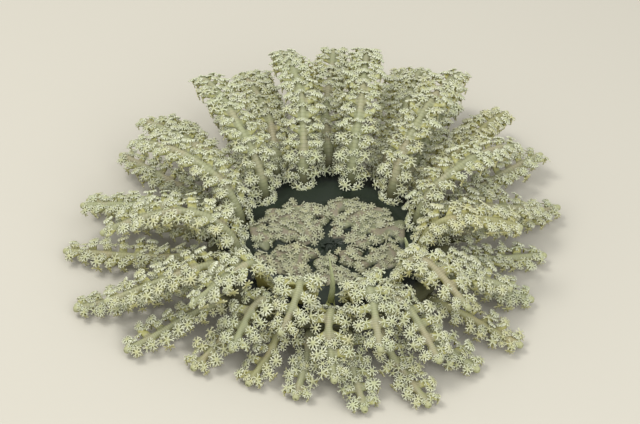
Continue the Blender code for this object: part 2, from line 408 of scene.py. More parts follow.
@contextmanager
def editing(piece: bpy.types.Object) -> Iterator[None]:
    """Edit mode on one piece, in which nothing is selected at first."""
    only(piece)
    bpy.ops.object.mode_set(mode="EDIT")
    bpy.ops.mesh.select_mode(type="FACE")
    bpy.ops.mesh.select_all(action="DESELECT")
    yield
    bpy.ops.object.mode_set(mode="OBJECT")


def select(piece: bpy.types.Object, kind: str,
           chosen: Callable[[bmesh.types.BMFace | bmesh.types.BMEdge], bool]) -> None:
    """Selects faces or edges of the piece being edited, and nothing else.

    Args:
        piece: the piece being edited.
        kind: "FACE" or "EDGE".
        chosen: the test of each face or edge.
    """
    bpy.ops.mesh.select_mode(type=kind)
    shape = bmesh.from_edit_mesh(piece.data)
    parts = shape.faces if kind == "FACE" else shape.edges
    for part in parts:
        part.select_set(False)
    for part in parts:
        if chosen(part):
            part.select_set(True)
    bmesh.update_edit_mesh(piece.data)


def extrude(offset: tuple[float, float, float]) -> None:
    """Extrudes what is selected by an offset."""
    bpy.ops.mesh.extrude_region_move(TRANSFORM_OT_translate={"value": offset})


def resize(scale: tuple[float, float, float], centre: tuple[float, float, float]) -> None:
    """Scales what is selected about a point."""
    bpy.ops.transform.resize(value=scale, center_override=centre)


def apply_modifier(piece: bpy.types.Object, kind: str, **settings: object) -> None:
    """Adds a modifier with these settings and applies it."""
    only(piece)
    modifier = piece.modifiers.new(kind.lower(), kind)
    for name, value in settings.items():
        setattr(modifier, name, value)
    bpy.ops.object.modifier_apply(modifier=modifier.name)


def own_copy(piece: bpy.types.Object, name: str) -> bpy.types.Object:
    """A copy of a piece with a mesh of its own."""
    copy = piece.copy()
    copy.data = piece.data.copy()
    copy.name = name
    bpy.context.scene.collection.objects.link(copy)
    return copy


def delete(*pieces: bpy.types.Object) -> None:
    """Removes pieces that were only models for others."""
    for piece in pieces:
        bpy.data.objects.remove(piece)


def corners_of(piece: bpy.types.Object) -> np.ndarray:
    """The places of a piece's corners, one row each."""
    places = np.empty(3 * len(piece.data.vertices), np.float32)
    piece.data.vertices.foreach_get("co", places)
    return places.reshape(-1, 3).astype(float)


def move_corners(piece: bpy.types.Object, places: np.ndarray) -> None:
    """Moves a piece's corners to these places."""
    piece.data.vertices.foreach_set("co", places.astype(np.float32).ravel())
    piece.data.update()


def set_mark(mesh: bpy.types.Mesh, label: str, values: float | np.ndarray) -> None:
    """Writes one number for each corner, under a name that materials read."""
    numbers = np.broadcast_to(np.asarray(values, np.float32), len(mesh.vertices)).copy()
    layer = mesh.attributes.get(label) or mesh.attributes.new(label, "FLOAT", "POINT")
    layer.data.foreach_set("value", numbers)


def mark(piece: bpy.types.Object, **values: float | np.ndarray) -> bpy.types.Object:
    """Gives flesh all the marks of the skin: those named here, and 0 for the rest."""
    for label in MARKS:
        set_mark(piece.data, label, values.get(label, 0.0))
    return piece


def ease(values: np.ndarray, low: float, high: float) -> np.ndarray:
    """The values brought smoothly from the range low to high to the range 0 to 1."""
    share = np.clip((np.asarray(values) - low) / (high - low), 0.0, 1.0)
    return share * share * (3.0 - 2.0 * share)


# ---------------------------------------------------------------------------------------------------------
# Flesh


@dataclass
class Flesh:
    """The skin's shapes: tentacles, fronds, young tentacles, mouth and body, joined into one."""

    disc: Disc
    rib_radius: float = 1.55 * MM
    branch_length: float = 6.4 * MM  # from the midrib's middle, where a tentacle is fullest
    branch_share: float = 0.62  # of the pitch that a side branch takes
    half_side: float = math.radians(22.5)  # half of the turn from one side of the eight-sided rib to the next
    straight: dict[int, bpy.types.Object] = field(default_factory=dict)

    def rung(self) -> bpy.types.Object:
        """One pitch of midrib along +X with a side branch on each side, open at both ends."""
        bpy.ops.mesh.primitive_cylinder_add(
            vertices=8, radius=self.rib_radius, depth=PITCH, end_fill_type="NOTHING",
            location=(PITCH / 2, 0, 0), rotation=(0, math.radians(90), 0))
        piece = bpy.context.object
        bpy.ops.object.transform_apply(location=True, rotation=True, scale=True)
        margin = PITCH * (1 - self.branch_share) / 2
        with editing(piece):
            for cut in (margin, PITCH - margin):
                bpy.ops.mesh.select_all(action="SELECT")
                bpy.ops.mesh.bisect(plane_co=(cut, 0, 0), plane_no=(1, 0, 0))
            bpy.ops.mesh.select_all(action="SELECT")
            bpy.ops.transform.rotate(value=self.half_side, orient_axis="X", center_override=(0, 0, 0))
            for way in (1, -1):
                select(piece, "FACE", lambda face, way=way: (
                    face.normal.y * way > 0.98 and abs(face.calc_center_median().x - PITCH / 2) < 0.2 * MM))
                reach = self.rib_radius * math.cos(self.half_side)
                middle = PITCH / 2
                for step, forward, lift, narrow, thicken in self.branch_steps():
                    extrude((forward, way * step, lift))
                    reach += step
                    middle += forward
                    resize((narrow, 1, thicken), (middle, way * reach, 0))
        return piece

    def branch_steps(self) -> tuple[tuple[float, float, float, float, float], ...]:
        """A side branch's steps: how far out, forward and up each goes, how it narrows and thickens."""
        stretch = self.branch_length - self.rib_radius
        return (
            (0.30 * stretch, 0.4 * MM, 0.1 * MM, 0.90, 1.7),
            (0.36 * stretch, 0.7 * MM, 0.3 * MM, 0.97, 1.2),
            (0.26 * stretch, 0.5 * MM, 0.4 * MM, 0.92, 1.0),
            (0.08 * stretch, 0.1 * MM, 0.1 * MM, 0.60, 0.6),
        )

    def straight_tentacle(self, rungs: int) -> bpy.types.Object:
        """A straight tentacle along +X with this many rungs, a root and a blunt tip."""
        if rungs in self.straight:
            return self.straight[rungs]
        if 0 not in self.straight:
            self.straight[0] = self.rung()
        piece = own_copy(self.straight[0], f"straight_{rungs}")
        apply_modifier(piece, "ARRAY", count=rungs, use_relative_offset=False, use_constant_offset=True,
                       constant_offset_displace=(PITCH, 0, 0), use_merge_vertices=True,
                       merge_threshold=TOUCH)
        end = rungs * PITCH
        rim = 1.05 * self.rib_radius
        with editing(piece):
            select(piece, "EDGE", lambda edge: all(
                vert.co.x > end - TOUCH and abs(vert.co.y) < rim for vert in edge.verts))
            place = end
            for forward, scale in ((0.12, 1.1), (0.12, 0.85), (0.08, 0.6), (0.02, 0.5)):  # TIP in all
                extrude((forward * PITCH, 0, 0))
                place += forward * PITCH
                resize((1, scale, scale), (place, 0, 0))
            bpy.ops.mesh.edge_face_add()
            select(piece, "EDGE", lambda edge: all(vert.co.x < TOUCH for vert in edge.verts))
            extrude((-ROOT * PITCH, 0, 0))
            bpy.ops.mesh.edge_face_add()
            bpy.ops.mesh.select_all(action="SELECT")
            bpy.ops.mesh.normals_make_consistent(inside=False)
        apply_modifier(piece, "SUBSURF", levels=1, render_levels=1)
        self.straight[rungs] = piece
        return piece

    def tentacle(self, arch: Arch) -> bpy.types.Object:
        """A copy of the straight tentacle, marked, bent along its arch and tapered with it."""
        piece = own_copy(self.straight_tentacle(arch.rungs), f"flesh_{arch.name}")
        places = corners_of(piece)
        low, high = places[:, 0].min(), places[:, 0].max()
        out = np.abs(places[:, 1])
        top = ease(places[:, 2], -0.2 * MM, 0.7 * MM)
        on_branch = ease(out, self.rib_radius * 0.95, self.rib_radius + 1.3 * MM)
        rung = np.clip((places[:, 0] - 0.06 * PITCH * out / MM) / PITCH, 0, arch.rungs - 1).astype(int)
        way = (places[:, 1] < 0).astype(int)
        places[:, 0] += arch.sweep[rung, way] * (out / self.branch_length) ** 2
        places[:, 1] *= 1.0 + (arch.stretch[rung, way] - 1.0) * on_branch
        share = np.clip((places[:, 0] - low) / (high - low), 0.0, 1.0)
        mark(piece, rib=(1.0 - on_branch) * top, end=ease(out, 4.4 * MM, 5.8 * MM) * top,
             shade=ease(-places[:, 2], -0.7 * MM, 0.8 * MM), along=share, tone=arch.tone)

        girth = 1.0 + 0.65 * ease(-share, -0.30, 0.0) - 0.10 * share
        places[:, 1:] *= (on_branch + (1.0 - on_branch) * girth / arch.scale(share))[:, None]
        places[:, 0] = share * arch.length
        move_corners(piece, places)
        self.bend(piece, arch)
        places = corners_of(piece)
        places[:, 2] = np.maximum(places[:, 2], 0.0)
        move_corners(piece, places)
        return piece

    def bend(self, piece: bpy.types.Object, arch: Arch) -> None:
        """Bends a straight tentacle along its arch, and scales it as the arch says."""
        line = bpy.data.curves.new(f"line_{arch.name}", "CURVE")
        line.dimensions = "3D"
        line.twist_mode = "Z_UP"
        spline = line.splines.new("POLY")
        rows = range(0, len(arch.points), 4)
        spline.points.add(len(rows) - 1)
        for point, row in zip(spline.points, rows):
            point.co = (*arch.points[row], 1.0)
            point.radius = float(arch.scale(row / (len(arch.points) - 1)))
        guide = bpy.data.objects.new(f"guide_{arch.name}", line)
        bpy.context.scene.collection.objects.link(guide)
        apply_modifier(piece, "CURVE", object=guide, deform_axis="POS_X")
        delete(guide)
        bpy.data.curves.remove(line)

    def pad(self, frond: Frond) -> bpy.types.Object:
        """One frond's flesh: a grid laid on its surface and given a thickness that reaches into the disc."""
        bpy.ops.mesh.primitive_grid_add(x_subdivisions=16 * frond.ribs, y_subdivisions=36, size=1.0)
        piece = bpy.context.object
        flat = corners_of(piece)
        across, outward = 0.5 - flat[:, 0], flat[:, 1] + 0.5
        move_corners(piece, frond.surface(across, outward))
        places = corners_of(piece)
        above = places[:, 2] - frond.disc.dish(np.hypot(places[:, 0], places[:, 1]))
        smooth = np.maximum(ease(frond.ridge(across), 0.55, 0.95), 1.0 - ease(outward, 0.2, 0.4))
        mark(piece, frond=1.0, rib=smooth, shade=1.0 - ease(above, 0.0, 1.5 * MM), along=outward,
             tone=frond.tone)
        apply_modifier(piece, "SOLIDIFY", thickness=2.2 * MM, offset=-1.0)
        return piece

    def body(self) -> bpy.types.Object:
        """The foot, the waisted column and the dished oral disc, drawn up from one circle."""
        disc = self.disc
        wall = (
            (disc.foot_radius, 1.2 * MM), (disc.foot_radius - 0.8 * MM, 2.6 * MM),
            (disc.waist_radius + 1.5 * MM, 3.6 * MM), (disc.waist_radius, 5.6 * MM),
            (disc.waist_radius + 4 * MM, 7.6 * MM), (disc.radius - 8 * MM, 10.0 * MM),
            (disc.radius - 1.2 * MM, disc.under + 0.7 * MM), (disc.radius - 0.1 * MM, disc.under + 2.2 * MM),
            (disc.radius - 0.3 * MM, disc.top - 1.0 * MM), (disc.radius - 1.8 * MM, disc.top - 0.05 * MM),
            (disc.radius - 8 * MM, disc.top), (disc.dish_radius, disc.top - 0.3 * MM),
            *((r * MM, float(disc.dish(r * MM))) for r in (24.0, 17.0, 11.0, 6.0, 3.5)),
            (2.4 * MM, float(disc.dish(0)) - 0.8 * MM), (1.0 * MM, float(disc.dish(0)) - 2.2 * MM),
        )
        start = disc.foot_radius - 1.0 * MM
        bpy.ops.mesh.primitive_circle_add(vertices=96, radius=start, fill_type="NGON", location=(0, 0, 0))
        piece = bpy.context.object
        with editing(piece):
            bpy.ops.mesh.select_all(action="SELECT")
            radius, height = start, 0.0
            for next_radius, next_height in wall:
                extrude((0, 0, next_height - height))
                resize((next_radius / radius, next_radius / radius, 1), (0, 0, next_height))
                radius, height = next_radius, next_height
            bpy.ops.mesh.select_all(action="SELECT")
            bpy.ops.mesh.normals_make_consistent(inside=False)
        self.furrow(piece)
        places = corners_of(piece)
        above = places[:, 2] > disc.under
        radius = np.hypot(places[:, 0], places[:, 1])
        dish = above & (radius < disc.dish_radius + 1 * MM)
        # the upper face takes full painted shade, so that the dish shows dark between the fronds
        return mark(piece, body=1.0, frond=dish, shade=above, end=disc.rim(radius))

    def furrow(self, piece: bpy.types.Object) -> None:
        """Draws the column in along its length, where the partitions inside pull on it."""
        places = corners_of(piece)
        azimuth = np.arctan2(places[:, 1], places[:, 0])
        wall = ((places[:, 2] > 3 * MM) & (places[:, 2] < self.disc.under)
                & (np.hypot(places[:, 0], places[:, 1]) > self.disc.waist_radius - 1 * MM))
        pull = 1.0 - wall * 0.012 * (1.0 + np.cos(24 * azimuth + 0.6 * np.sin(5 * azimuth)))
        places[:, :2] *= pull[:, None]
        move_corners(piece, places)

    def mouth(self) -> bpy.types.Object:
        """Small oval lips round the slit of the mouth, drawn in by radial folds."""
        bpy.ops.mesh.primitive_torus_add(
            major_radius=1.9 * MM, minor_radius=0.7 * MM, major_segments=40, minor_segments=12,
            location=(0, 0, self.disc.dish(0) - 0.1 * MM))
        piece = bpy.context.object
        bpy.ops.object.transform_apply(location=True, rotation=True, scale=True)
        places = corners_of(piece)
        azimuth = np.arctan2(places[:, 1], places[:, 0])
        fold = 1.0 + 0.12 * np.cos(9 * azimuth) + 0.10 * np.cos(2 * azimuth + 0.8)
        places[:, :2] *= np.stack((1.25 * fold, 0.85 * fold), axis=1)
        move_corners(piece, places)
        # the lips take the fronds' painted shade, dark round the slit
        return mark(piece, frond=1.0, shade=0.9)

    def young_tentacle(self, node: str, girth: float) -> bpy.types.Object:
        """A bare, pointed young tentacle that stands where the frame's solid does, this thick at its root."""
        low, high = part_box(node)
        height = high.z - low.z
        root = np.array(((low.x + high.x) / 2, (low.y + high.y) / 2, low.z))
        inward = unit((-root[0], -root[1], 0.0))
        bpy.ops.mesh.primitive_cylinder_add(vertices=12, radius=girth, depth=1 * MM, location=(0, 0, -1 * MM))
        piece = bpy.context.object
        bpy.ops.object.transform_apply(location=True, rotation=True, scale=True)
        with editing(piece):
            select(piece, "FACE", lambda face: face.normal.z > 0.9)
            at, width = -0.5 * MM, 1.0
            for share, next_width in ((0.05, 1.0), (0.14, 0.92), (0.3, 0.78), (0.5, 0.6), (0.68, 0.44),
                                      (0.84, 0.3), (0.95, 0.2), (1.0, 0.1)):
                extrude((0, 0, share * height - at))
                at = share * height
                resize((next_width / width, next_width / width, 1), (0, 0, at))
                width = next_width
        places = corners_of(piece)
        share = np.maximum(0.0, places[:, 2]) / height
        lean = 1.5 * MM * (share**2 - 0.6 * share)
        places += root + inward * lean[:, None]
        places[:, 0] += 0.7 * MM * np.sin(4.2 * share)
        move_corners(piece, places)
        mark(piece, young=1.0, along=share, shade=1.0 - ease(share, 0.0, 0.35))
        apply_modifier(piece, "SUBSURF", levels=1, render_levels=1)
        return piece

    def join(self, pieces: list[bpy.types.Object]) -> bpy.types.Object:
        """Fuses all the flesh into one closed skin by an exact union, and marks it as its parts were.

        Args:
            pieces: the body first and then all that grows out of it.

        Returns:
            The one skin.
        """
        places = np.concatenate([corners_of(piece) for piece in pieces])
        marks = {label: np.concatenate([read_mark(piece.data, label) for piece in pieces]) for label in MARKS}
        tree = kdtree.KDTree(len(places))
        for row, place in enumerate(places):
            tree.insert(place, row)
        tree.balance()

        others = bpy.data.collections.new("growths")
        bpy.context.scene.collection.children.link(others)
        for piece in pieces[1:]:
            others.objects.link(piece)
        skin = pieces[0]
        apply_modifier(skin, "BOOLEAN", operation="UNION", operand_type="COLLECTION", collection=others,
                       solver="EXACT", use_self=False)
        delete(*pieces[1:])
        bpy.data.collections.remove(others)
        skin.name = "skin"
        skin.data.name = "skin"
        corners = corners_of(skin)
        nearest = np.array([tree.find(place)[1] for place in corners])
        radius = np.hypot(corners[:, 0], corners[:, 1])
        on_disc = np.abs(corners[:, 2] - self.disc.dish(radius)) < 0.15 * MM
        on_disc &= radius < self.disc.radius - 1 * MM
        flat = {"body": 1.0, "shade": 1.0, "frond": radius < self.disc.dish_radius,
                "end": self.disc.rim(radius)}
        for label in MARKS:
            set_mark(skin.data, label, np.where(on_disc, flat.get(label, 0.0), marks[label][nearest]))
        only(skin)
        bpy.ops.object.shade_smooth()
        return skin

    def build(self, arches: list[Arch], fronds: list[Frond]) -> bpy.types.Object:
        """Makes the whole skin."""
        pieces = [self.body(), self.mouth()]
        pieces += [self.young_tentacle(node, girth) for node, girth in YOUNG.items()]
        pieces += [self.pad(frond) for frond in fronds]
        pieces += [self.tentacle(arch) for arch in arches]
        skin = self.join(pieces)
        delete(*self.straight.values())
        log.info("skin: %d faces", len(skin.data.polygons))
        return skin


def read_mark(mesh: bpy.types.Mesh, label: str) -> np.ndarray:
    """The numbers that a mesh's corners carry under this name."""
    values = np.empty(len(mesh.vertices), np.float32)
    mesh.attributes[label].data.foreach_get("value", values)
    return values


# ---------------------------------------------------------------------------------------------------------
# Coat


@dataclass(frozen=True)
class Star:
    """One kind of branchlet: a stalk that flares into a hub, with a ring of arms round it.

    Attributes:
        arms: how many arms.
        forked: whether each arm ends in two knobs or in one.
        hub: radius of the hub.
        arm: length of an arm up to its fork.
        prong: length of a prong.
        stalk: height of the stalk.
        height: thickness of the hub's rim.
        slim: how much narrower than the hub's side an arm is, at each edge.
        droop: how far the knobs hang below the hub.
    """

    arms: int
    forked: bool
    hub: float = 0.56 * MM
    arm: float = 0.88 * MM
    prong: float = 0.72 * MM
    stalk: float = 1.2 * MM
    height: float = 0.50 * MM
    slim: float = 0.08 * MM
    droop: float = 0.5 * MM

    def model(self) -> "StarMesh":
        """Models the branchlet standing on the origin and reads its mesh."""
        bpy.ops.mesh.primitive_cone_add(
            vertices=self.arms, radius1=self.hub * 1.08, radius2=self.hub * 0.85, depth=self.height,
            end_fill_type="NGON", location=(0, 0, self.stalk + self.height / 2))
        piece = bpy.context.object
        bpy.ops.object.transform_apply(location=True, rotation=True, scale=True)
        with editing(piece):
            select(piece, "FACE", lambda face: face.normal.z > 0.95)
            bpy.ops.mesh.inset(thickness=self.hub * 0.4, depth=0.12 * MM)
            select(piece, "FACE", lambda face: face.normal.z < -0.95)
            self.draw_stalk()
            select(piece, "FACE", lambda face: abs(face.normal.z) < 0.7
                         and face.calc_center_median().z > self.stalk)
            bpy.ops.mesh.inset(thickness=self.slim, depth=self.arm, use_individual=True)
            self.mark_ends(piece)
            if self.forked:
                self.split_ends(piece)
            self.knob(piece)
        apply_modifier(piece, "TRIANGULATE")
        mesh = StarMesh.read(piece, self)
        delete(piece)
        return mesh

    def draw_stalk(self) -> None:
        """Draws the hub's selected underside down into the stalk."""
        extrude((0, 0, -self.stalk))
        resize((0.5, 0.5, 1), (0, 0, 0))

    def mark_ends(self, piece: bpy.types.Object) -> None:
        """Marks the selected end faces of the arms, so that they can be found after they are split."""
        shape = bmesh.from_edit_mesh(piece.data)
        for face in shape.faces:
            face.material_index = int(face.select)
        bmesh.update_edit_mesh(piece.data)

    def split_ends(self, piece: bpy.types.Object) -> None:
        """Splits each arm's end face in two and turns the halves apart."""
        select(piece, "EDGE", lambda edge: any(face.material_index for face in edge.link_faces)
                     and abs(edge.verts[0].co.z - edge.verts[1].co.z) < 0.05 * MM)
        bpy.ops.mesh.subdivide(number_cuts=1)
        shape = bmesh.from_edit_mesh(piece.data)
        for vert in shape.verts:
            middle = abs(float(self.turns(vert.co.x, vert.co.y)) % 1.0 - 0.5) < 0.1
            if middle and any(face.material_index for face in vert.link_faces):
                vert.co.xy *= 1.0 + 0.15 * MM / vert.co.xy.length
        shape.normal_update()
        bmesh.update_edit_mesh(piece.data)

    def turns(self, x: np.ndarray, y: np.ndarray) -> np.ndarray:
        """The direction of a place counted in arms: the arms' middles lie half way between whole numbers."""
        return np.arctan2(x, y) / (2 * np.pi) * self.arms

    def knob(self, piece: bpy.types.Object) -> None:
        """Draws each end face out into a prong with a round knob."""
        select(piece, "FACE", lambda face: face.material_index == 1)
        bpy.ops.mesh.inset(thickness=0.005 * MM, depth=self.prong * (1.0 if self.forked else 1.3),
                           use_individual=True)
        self.swell(piece, 1.6 if self.forked else 1.35)
        bpy.ops.mesh.poke(offset=0.24 * MM)

    def swell(self, piece: bpy.types.Object, factor: float) -> None:
        """Scales each selected face about its own middle."""
        shape = bmesh.from_edit_mesh(piece.data)
        for face in [face for face in shape.faces if face.select]:
            middle = face.calc_center_median()
            for vert in face.verts:
                vert.co = middle + (vert.co - middle) * factor
        bmesh.update_edit_mesh(piece.data)


@dataclass
class StarMesh:
    """A branchlet's mesh as arrays, with how far out each corner is and where it lies on its patch."""

    corners: np.ndarray
    faces: np.ndarray
    share: np.ndarray
    patch: np.ndarray

    @classmethod
    def read(cls, piece: bpy.types.Object, star: Star) -> "StarMesh":
        """Reads a triangulated piece and lets its arms droop."""
        corners = corners_of(piece)
        faces = np.array([tuple(face.vertices) for face in piece.data.polygons])
        radius = np.hypot(corners[:, 0], corners[:, 1])
        rise = np.clip(corners[:, 2] / star.stalk, 0.0, 1.0)
        out = np.clip((radius - star.hub) / (radius.max() - star.hub), 0.0, 1.0)
        share = np.where(rise > 0.95, 0.40 + 0.60 * out, 0.40 * rise)
        corners[:, 2] -= star.droop * (radius / radius.max()) ** 2 * (rise > 0.95)
        girth = np.abs(2 * (star.turns(corners[:, 0], corners[:, 1]) % 1.0) - 1.0)
        return cls(corners, faces, share, np.stack((girth, share), axis=1))


@dataclass(frozen=True)
class Spot:
    """Where on a rung a branchlet roots, and its size: places in metres for the fullest tentacle."""

    fine: bool
    forward: float  # in rungs
    out: float
    rise: float
    lean: tuple[float, float, float]
    size: float
    # how much painted shade it takes, for standing deeper among the others
    shade: float


class Role(Enum):
    """The branchlets of one side branch."""

    END = Spot(True, 0.24, 6.0 * MM, 1.2 * MM, (0.20, 0.35, 1.0), 1.04, 0.0)
    TOP = Spot(True, 0.08, 3.45 * MM, 1.0 * MM, (0.0, 0.15, 1.0), 0.92, 0.0)
    CREST = Spot(True, -0.46, 1.2 * MM, 1.2 * MM, (0.1, 0.3, 1.0), 0.78, 0.0)
    BETWEEN = Spot(True, -0.42, 4.5 * MM, 0.1 * MM, (0.0, 0.4, 1.0), 0.84, 0.20)
    UNDER = Spot(False, 0.26, 6.0 * MM, -0.2 * MM, (0.2, 1.0, -0.2), 0.84, 0.5)


@dataclass
class Tuft:
    """One branchlet's place: where it roots, which way it points and how it looks.

    Attributes:
        kind: which of the coat's models it is.
        root: where it roots.
        normal: which way it points.
        size: its scale.
        tone: how yellow or how green it is.
        shade: how much painted shade it takes, for standing deep among the others; below 0, how much of a
            frond's pinkish blush it takes instead.
        spot: its place on its tentacle's own strip of the bake map, each from 0 to 1.
    """

    kind: int
    root: np.ndarray
    normal: np.ndarray
    size: float
    tone: float
    shade: float
    spot: tuple[float, float]


@dataclass
class Coat:
    """All the branchlets, joined into pieces of a few tentacles each."""

    fine: tuple[Star, ...] = (Star(6, True), Star(5, True, hub=0.52 * MM, slim=0.12 * MM, droop=0.2 * MM),
                              Star(7, True, hub=0.64 * MM, arm=0.80 * MM, slim=0.06 * MM, droop=0.8 * MM))
    plain: tuple[Star, ...] = (Star(7, False, hub=0.7 * MM), Star(6, False, droop=0.2 * MM))
    low: tuple[Star, ...] = (Star(7, False, hub=0.9 * MM, arm=0.5 * MM, stalk=0.5 * MM, droop=0.6 * MM),
                             Star(8, False, hub=1.0 * MM, arm=0.4 * MM, stalk=0.4 * MM, droop=0.4 * MM))
    at_tip: Spot = Spot(True, 0.46, 1.5 * MM, 1.0 * MM, (0.5, 0.4, 1.0), 0.80, 0.0)
    at_root: tuple[Spot, ...] = (Spot(True, -0.50, 3.8 * MM, 2.4 * MM, (0.2, 0.5, 0.9), 1.06, 0.0),
                                 Spot(True, -0.60, 1.8 * MM, 3.5 * MM, (0.4, 0.2, 0.9), 1.12, 0.0))
    bare_share: float = 0.012  # of the side branches that end without a branchlet
    skyward: float = 1.5  # how far branchlets turn up where their tentacle climbs steeply
    apart: float = 3.4 * MM  # from a young tentacle's middle, where no branchlet stands
    sweep_out: float = 6 * MM  # how far out a side branch's sweep is full
    bends: tuple[tuple[float, int], ...] = ((0.20 * MM, 2), (0.12 * MM, 5))  # how deep, in how many waves
    bend_radius: float = 2.4 * MM  # of a branchlet, where its bends are full
    first_row: float = 6.5 * MM  # from the mouth's middle to a frond's innermost branchlets
    row_step: float = 3.0 * MM
    column_step: float = 3.3 * MM
    meshes: list[StarMesh] = field(default_factory=list)

    def on_tentacle(self, arch: Arch, chance: random.Random) -> list[Tuft]:
        """Every branchlet of one tentacle, rung by rung."""
        tufts = []
        for rung in range(arch.rungs):
            smooth = 0.5 + 0.5 * math.sin(1.3 * rung + arch.seed) > arch.covered
            for way in (1, -1):
                bare = chance.random() < self.bare_share
                for role in Role:
                    if not (bare and role in (Role.END, Role.UNDER)) and not (smooth and role is Role.CREST):
                        tufts.append(self.tuft(arch, rung, way, role.value, chance))
        tufts += [self.tuft(arch, arch.rungs - 1, way, self.at_tip, chance) for way in (1, -1)]
        if arch.cycle is not Cycle.OUTER:
            tufts += [self.tuft(arch, 0, way, spot, chance) for spot in self.at_root for way in (1, -1)]
        return tufts

    def tuft(self, arch: Arch, rung: int, way: int, spot: Spot, chance: random.Random) -> Tuft:
        """One branchlet of a side branch.

        Args:
            arch: the tentacle's arch.
            rung: the rung that it stands on.
            way: 1 for the left side branch and -1 for the right one.
            spot: which of the branch's branchlets it is.
            chance: the draws of the coat.

        Returns:
            Its place and looks.
        """
        hand = int(way < 0)
        swept = arch.sweep[rung, hand] / PITCH * (spot.out / self.sweep_out) ** 2
        share = arch.rung_share(rung + spot.forward + swept + chance.gauss(0, 0.04))
        width = float(arch.scale(share))
        centre, along, side, up = arch.at(share)
        out = spot.out * width * arch.stretch[rung, hand] * (1 + chance.gauss(0, 0.05))
        root = centre + side * (way * out) + up * (spot.rise * width)
        climb = self.skyward * min(1.0, 3.5 * share) * max(0.0, float(along[2]))
        lean = (spot.lean[0] + climb + chance.gauss(0, 0.2), spot.lean[1] * way + chance.gauss(0, 0.2),
                spot.lean[2])
        normal = unit(along * lean[0] + side * lean[1] + up * lean[2])
        fine, plain = len(self.fine), len(self.plain)
        kinds = range(fine) if spot.fine else range(fine, fine + plain)
        size = spot.size * (0.50 + 0.50 * min(1.0, width)) * chance.uniform(0.84, 1.16)
        place = (min(1.0, max(0.0, share)), 0.5 + 0.44 * way * min(1.0, out / (arch.model_width * width)))
        return Tuft(chance.choice(kinds), root - normal * 0.4 * MM, normal, size,
                    0.6 * arch.tone + chance.gauss(0, 0.35), spot.shade, place)

    def on_frond(self, frond: Frond, chance: random.Random) -> list[Tuft]:
        """The low branchlets of one frond, in rows round the mouth, with smooth ribs left between them."""
        tufts = []
        radius = self.first_row
        while radius < frond.outer:
            outward = (radius - frond.inner) / (frond.outer - frond.inner)
            count = max(1, round(math.radians(frond.span) * radius / self.column_step))
            for column in range(count):
                across = (column + 0.5 + chance.uniform(-0.2, 0.2)) / count
                near = outward + chance.uniform(-0.05, 0.05)
                here = frond.surface(np.array([across, across, min(1.0, across + 0.01)]),
                                     np.clip([near, near + 0.01, near], 0.0, 0.97))
                bare = frond.ridge(across) > 0.9 and chance.random() < 0.3
                if bare or frond.pool(here[0]) > 0.3 or chance.random() < 0.05:
                    continue
                normal = unit(np.cross(here[1] - here[0], here[2] - here[0]))
                normal = unit(normal + np.array([chance.gauss(0, 0.12), chance.gauss(0, 0.12), 0.0]))
                first = len(self.fine) + len(self.plain)
                kind = first + chance.randrange(len(self.low))
                tufts.append(Tuft(kind, here[0] - normal * 0.2 * MM, normal, chance.uniform(0.56, 0.92),
                                  0.5 * frond.tone + chance.gauss(0, 0.5), chance.uniform(-1.0, -0.55),
                                  (across, min(1.0, near))))
            radius += self.row_step
        return tufts

    def clear(self, tufts: list[Tuft]) -> list[Tuft]:
        """The branchlets that don't crowd a young tentacle."""
        for node in YOUNG:
            low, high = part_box(node)
            middle = np.array((low.x + high.x, low.y + high.y)) / 2
            tufts = [tuft for tuft in tufts
                     if np.linalg.norm(tuft.root[:2] - middle) > self.apart or tuft.root[2] > high.z]
        return tufts

    def build(self, arches: list[Arch], fronds: list[Frond]) -> list[bpy.types.Object]:
        """Makes the coat's pieces, each with as many tentacles as its faces allow."""
        self.meshes = [star.model() for star in (*self.fine, *self.plain, *self.low)]
        chance = random.Random(COAT_SEED)
        pieces = [self.piece("branchlets_fronds", [self.on_frond(frond, chance) for frond in fronds], chance)]
        for cycle in Cycle:
            ring = [self.clear(self.on_tentacle(arch, chance)) for arch in arches if arch.cycle is cycle]
            for number, group in enumerate(self.groups(ring)):
                pieces.append(self.piece(f"branchlets_{cycle.value}_{number + 1}", group, chance))
        return pieces

    def groups(self, ring: list[list[Tuft]]) -> list[list[list[Tuft]]]:
        """Splits a ring's tentacles into even runs that each stay under the most faces of a piece."""
        faces = [sum(len(self.meshes[tuft.kind].faces) for tuft in tufts) for tufts in ring]
        size = len(ring)
        while max(sum(faces[start:start + size]) for start in range(0, len(ring), size)) > MOST_FACES:
            size -= 1
        return [ring[start:start + size] for start in range(0, len(ring), size)]

    def piece(self, name: str, bands: list[list[Tuft]], chance: random.Random) -> bpy.types.Object:
        """Joins branchlets into one mesh.

        Args:
            name: the piece's name.
            bands: the branchlets of each tentacle, which share a strip of the bake map.
            chance: the draws of their turns and bends.

        Returns:
            The piece, with its attributes and bake map.
        """
        corners, faces, patch = [], [], []
        marks = {"share": [], "tone": [], "shade": []}
        start = 0
        for band, tufts in enumerate(bands):
            for tuft in tufts:
                mesh = self.meshes[tuft.kind]
                corners.append(self.placed(mesh.corners, tuft, chance))
                faces.append(mesh.faces + start)
                marks["share"].append(mesh.share)
                marks["tone"].append(np.full(len(mesh.share), tuft.tone))
                marks["shade"].append(np.full(len(mesh.share), tuft.shade))
                centre = np.array((0.02 + 0.95 * tuft.spot[0], (band + tuft.spot[1]) / len(bands)))
                patch.append(centre + (mesh.patch - 0.5) * PATCH)
                start += len(mesh.corners)
        every = np.concatenate(corners)
        every[:, 2] = np.maximum(every[:, 2], FLOOR_GAP)
        mesh = triangle_mesh(name, every, np.concatenate(faces))
        for label, values in marks.items():
            set_mark(mesh, label, np.concatenate(values))
        index = np.empty(len(mesh.loops), np.int32)
        mesh.loops.foreach_get("vertex_index", index)
        mesh.uv_layers.new(name="OFBake").data.foreach_set("uv", np.concatenate(patch)[index].ravel())
        piece = bpy.data.objects.new(name, mesh)
        bpy.context.scene.collection.objects.link(piece)
        log.info("%s: %d branchlets, %d faces", name, len(corners), len(mesh.polygons))
        return piece

